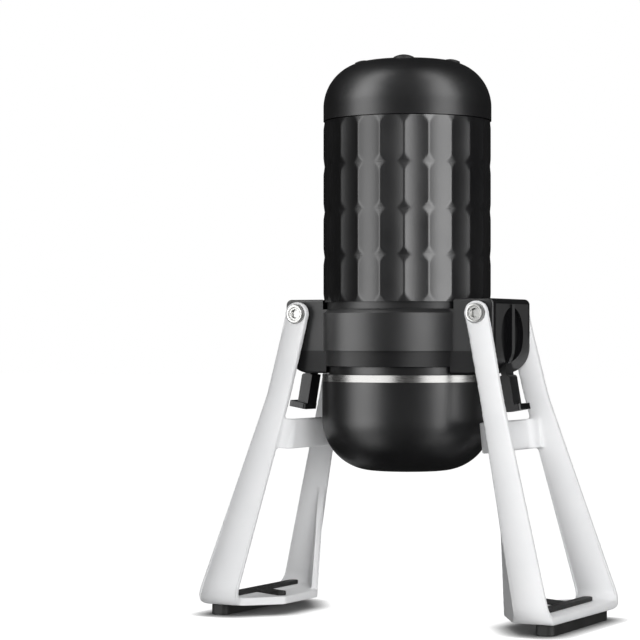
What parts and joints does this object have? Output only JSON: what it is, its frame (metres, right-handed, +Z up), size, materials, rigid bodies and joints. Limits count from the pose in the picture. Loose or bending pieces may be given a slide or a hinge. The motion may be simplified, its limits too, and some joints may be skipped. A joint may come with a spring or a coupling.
{
  "type": "handheld manual espresso maker",
  "caption": "Portable hand-pumped espresso maker: black cylinder with tiled grip and dome cap, steel-rimmed cup below, standing on white fold-out legs.",
  "frame": {"origin": "on the floor under the middle of the machine", "axes": "+Z up along the body's axis, legs towards +X and -X, symmetric about the Z axis by half a turn"},
  "size_m": [0.1814, 0.0824, 0.2615],
  "materials": {
    "satin_black": "satin moulded black",
    "sleeve_black": "satin moulded black with flat tiles",
    "tank_black": "matt black",
    "pale_plastic": "natural white engineering plastic",
    "white_paint": "satin white coat on die-cast metal",
    "steel": "brushed stainless steel",
    "bright_steel": "polished stainless steel",
    "black_rubber": "matt rubber"
  },
  "bodies": {
    "base": {"base_frame": "satin_black", "end_cover_left": "satin_black", "end_cover_right": "satin_black", "latch_pins": "bright_steel", "latch_spring_left": "bright_steel", "latch_spring_right": "bright_steel", "shower_screen": "steel", "group_gasket": "black_rubber", "tank_seal": "black_rubber"},
    "upper": {"water_tank": "tank_black", "grip_sleeve": "sleeve_black", "pump_barrel": "tank_black", "rod_gland": "pale_plastic", "inlet_valve": "black_rubber", "outlet_ball": "bright_steel", "outlet_spring": "bright_steel", "outlet_plug": "pale_plastic"},
    "pump": {"pump_cap": "satin_black", "cap_feet": "black_rubber", "pump_rod": "bright_steel", "pump_piston": "pale_plastic", "piston_seal": "black_rubber"},
    "leg_left_body": {"leg_left": "white_paint", "hinge_axle_left": "bright_steel", "pivot_screws_left": "bright_steel", "foot_rubber_left": "black_rubber", "grip_inlay_left": "black_rubber"},
    "leg_right_body": {"leg_right": "white_paint", "hinge_axle_right": "bright_steel", "pivot_screws_right": "bright_steel", "foot_rubber_right": "black_rubber", "grip_inlay_right": "black_rubber"},
    "latch_left_body": {"latch_left": "satin_black"},
    "latch_right_body": {"latch_right": "satin_black"},
    "holder": {"portafilter": "satin_black", "filter_basket": "steel", "cup_ring": "black_rubber"},
    "cup": {"cup_shell": "satin_black", "cup_liner": "steel"}
  },
  "joints": [
    {"name": "tank_lift", "type": "slide", "parent": "base", "child": "upper", "axis": [0, 0, -1], "range_m": [-0.06, 0]},
    {"name": "pump_stroke", "type": "slide", "parent": "upper", "child": "pump", "axis": [0, 0, -1], "range_m": [-0.05, 0]},
    {"name": "leg_left_fold", "type": "hinge", "parent": "base", "child": "leg_left_body", "pos_m": [-0.046, 0, 0.1422], "axis": [0, 1, 0], "range_deg": [0, 168]},
    {"name": "leg_right_fold", "type": "hinge", "parent": "base", "child": "leg_right_body", "pos_m": [0.046, 0, 0.1422], "axis": [0, -1, 0], "range_deg": [0, 168]},
    {"name": "latch_left_pull", "type": "slide", "parent": "base", "child": "latch_left_body", "axis": [-0.1736, 0, -0.9848], "range_m": [0, 0.003], "stiffness_N_per_m": 300, "springref_m": -0.003, "deforming": ["latch_spring_left"]},
    {"name": "latch_right_pull", "type": "slide", "parent": "base", "child": "latch_right_body", "axis": [0.1736, 0, -0.9848], "range_m": [0, 0.003], "stiffness_N_per_m": 300, "springref_m": -0.003, "deforming": ["latch_spring_right"]},
    {"name": "holder_release", "type": "slide", "parent": "base", "child": "holder", "axis": [0, 0, -1], "range_m": [0, 0.025]},
    {"name": "cup_release", "type": "slide", "parent": "holder", "child": "cup", "axis": [0, 0, -1], "range_m": [0, 0.036]}
  ]
}
